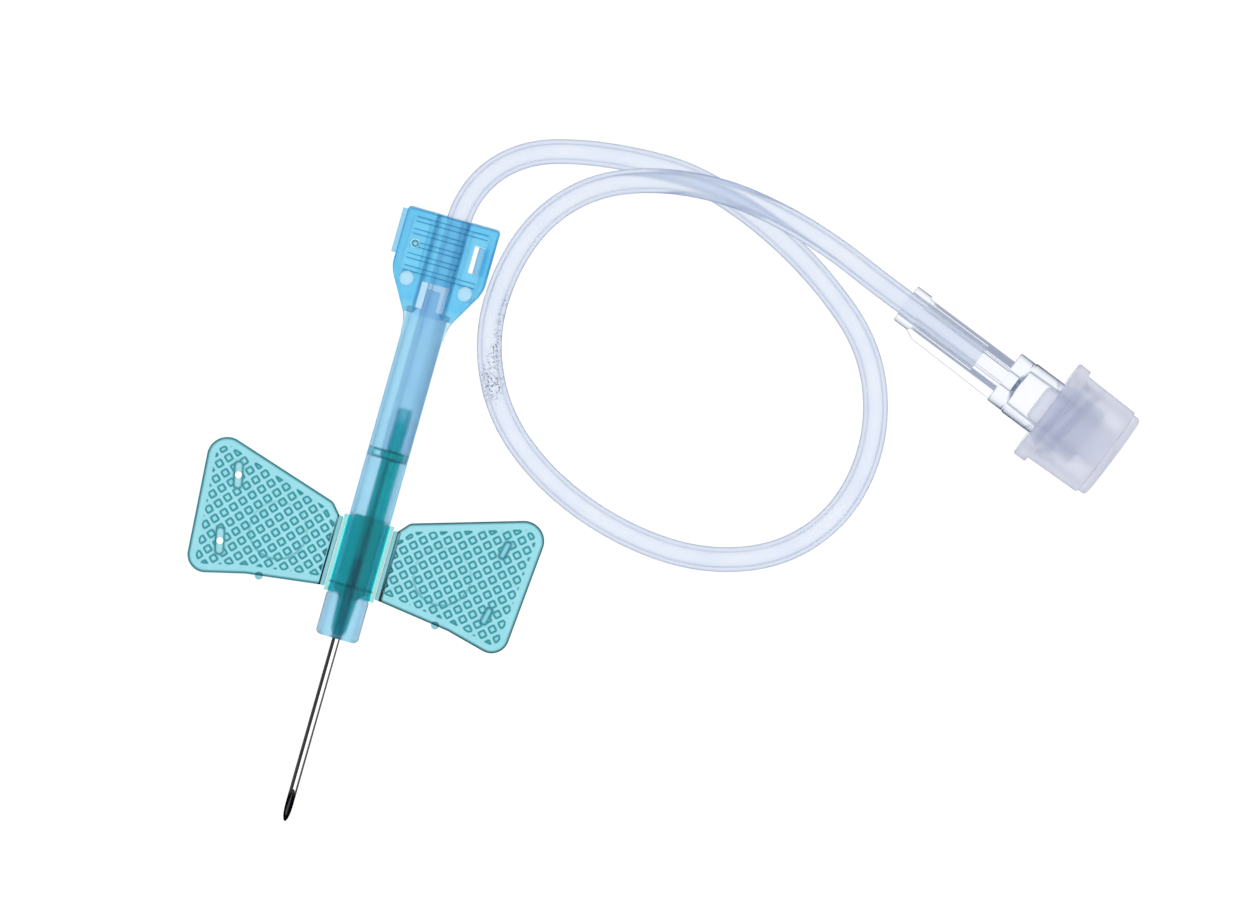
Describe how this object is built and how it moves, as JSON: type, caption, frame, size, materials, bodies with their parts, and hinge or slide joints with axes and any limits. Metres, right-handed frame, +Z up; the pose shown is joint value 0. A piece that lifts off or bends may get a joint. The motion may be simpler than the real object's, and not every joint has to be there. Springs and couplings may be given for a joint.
{
  "type": "winged infusion needle set",
  "caption": "Winged needle with a sliding safety sheath, a looped clear tube and a capped conical connector.",
  "frame": {"origin": "on the needle axis where the needle leaves the nose of the hub", "axes": "the needle points to -Y, the wings spread along X, +Z is up"},
  "size_m": [0.0896, 0.0753, 0.0111],
  "materials": {
    "needle_steel": "bright drawn stainless steel",
    "teal_hub": "translucent teal moulded plastic",
    "teal_wing": "soft translucent teal plastic",
    "blue_sheath": "translucent light blue moulded plastic",
    "blue_cover": "translucent blue moulded plastic",
    "clear_tube": "clear soft tubing",
    "clear_connector": "clear moulded plastic",
    "frosted_cap": "frosted natural plastic"
  },
  "bodies": {
    "needle_set": {"needle": "needle_steel", "hub": "teal_hub", "tube": "clear_tube", "connector": "clear_connector"},
    "safety_sheath": {"sheath": "blue_sheath", "grip_cover": "blue_cover"},
    "right_wing": {"wing_right": "teal_wing"},
    "left_wing": {"wing_left": "teal_wing"},
    "cap": {"connector_cap": "frosted_cap"}
  },
  "joints": [
    {"name": "sheath_slide", "type": "slide", "parent": "needle_set", "child": "safety_sheath", "axis": [0, -1, 0], "range_m": [0, 0.0212]},
    {"name": "right_wing_fold", "type": "hinge", "parent": "needle_set", "child": "right_wing", "pos_m": [0.0029, 0.008, 0], "axis": [0, -1, 0], "range_deg": [0, 70]},
    {"name": "left_wing_fold", "type": "hinge", "parent": "needle_set", "child": "left_wing", "pos_m": [-0.0029, 0.008, 0], "axis": [0, 1, 0], "range_deg": [0, 70]},
    {"name": "cap_pull", "type": "slide", "parent": "needle_set", "child": "cap", "axis": [0.9336, -0.3584, 0], "range_m": [0, 0.0075]}
  ]
}
